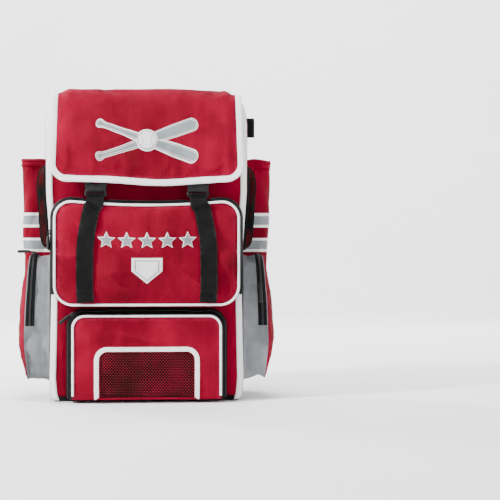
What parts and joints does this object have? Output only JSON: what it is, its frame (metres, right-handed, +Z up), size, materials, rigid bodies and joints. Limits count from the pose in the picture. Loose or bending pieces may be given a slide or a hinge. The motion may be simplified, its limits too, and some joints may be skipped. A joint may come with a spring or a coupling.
{
  "type": "baseball bat backpack",
  "caption": "Red, grey and white baseball bat backpack with a buckled flap, front pockets, side pockets, mesh panels, open bat sleeves, padded shoulder straps and fence hooks.",
  "frame": {"origin": "centre of the underside of the base", "axes": "+Z up, -Y to the front, +X to the right seen from the front"},
  "size_m": [0.4984, 0.3351, 0.5997],
  "materials": {
    "red_cloth": "plain woven polyester, matte",
    "white_tape": "smooth white binding and piping",
    "grey_cloth": "plain woven polyester, matte",
    "black_mesh": "open knitted mesh",
    "black_pad": "padded spacer mesh",
    "black_webbing": "ribbed nylon webbing",
    "black_plastic": "satin moulded plastic",
    "black_zip": "coil zip tape",
    "base_cloth": "coated cloth"
  },
  "bodies": {
    "root": {"base_tray": "base_cloth", "main_body": "red_cloth", "upper_pocket": "red_cloth", "lower_pocket": "red_cloth", "side_pocket_face_left": "red_cloth", "side_pocket_face_right": "red_cloth", "bat_sleeve_left": "red_cloth", "bat_sleeve_right": "red_cloth", "flap": "red_cloth", "back_pad_centre": "red_cloth", "shoulder_strap_left": "red_cloth", "shoulder_strap_right": "red_cloth", "front_edge_tape_left": "white_tape", "front_edge_tape_right": "white_tape", "back_edge_tape_left": "white_tape", "back_edge_tape_right": "white_tape", "upper_pocket_piping": "white_tape", "lower_pocket_piping": "white_tape", "window_tape": "white_tape", "flap_binding": "white_tape", "strap_binding_left": "white_tape", "strap_binding_right": "white_tape", "arch_binding": "white_tape", "neck_binding": "white_tape", "side_pocket_gusset_left": "grey_cloth", "side_pocket_gusset_right": "grey_cloth", "window_mesh": "black_mesh", "side_mesh_left": "black_mesh", "side_mesh_right": "black_mesh", "back_pad_left": "black_pad", "back_pad_right": "black_pad", "front_strap_left": "black_webbing", "front_strap_right": "black_webbing", "flap_tab_left": "black_webbing", "flap_tab_right": "black_webbing", "strap_anchor_left": "black_webbing", "strap_anchor_right": "black_webbing", "lower_webbing_left": "black_webbing", "lower_webbing_right": "black_webbing", "hook_tab_left": "black_webbing", "hook_tab_right": "black_webbing", "side_loop": "black_webbing", "buckle_body_left": "black_plastic", "buckle_body_right": "black_plastic", "buckle_clip_left": "black_plastic", "buckle_clip_right": "black_plastic", "ladder_lock_left": "black_plastic", "ladder_lock_right": "black_plastic", "fence_hook_left": "black_plastic", "fence_hook_right": "black_plastic", "upper_zip_pull": "black_plastic", "lower_zip_pull": "black_plastic", "side_zip_pull_left": "black_plastic", "side_zip_pull_right": "black_plastic", "upper_zip": "black_zip", "lower_zip": "black_zip", "side_pocket_zip_left": "black_zip", "side_pocket_zip_right": "black_zip"}
  },
  "joints": []
}
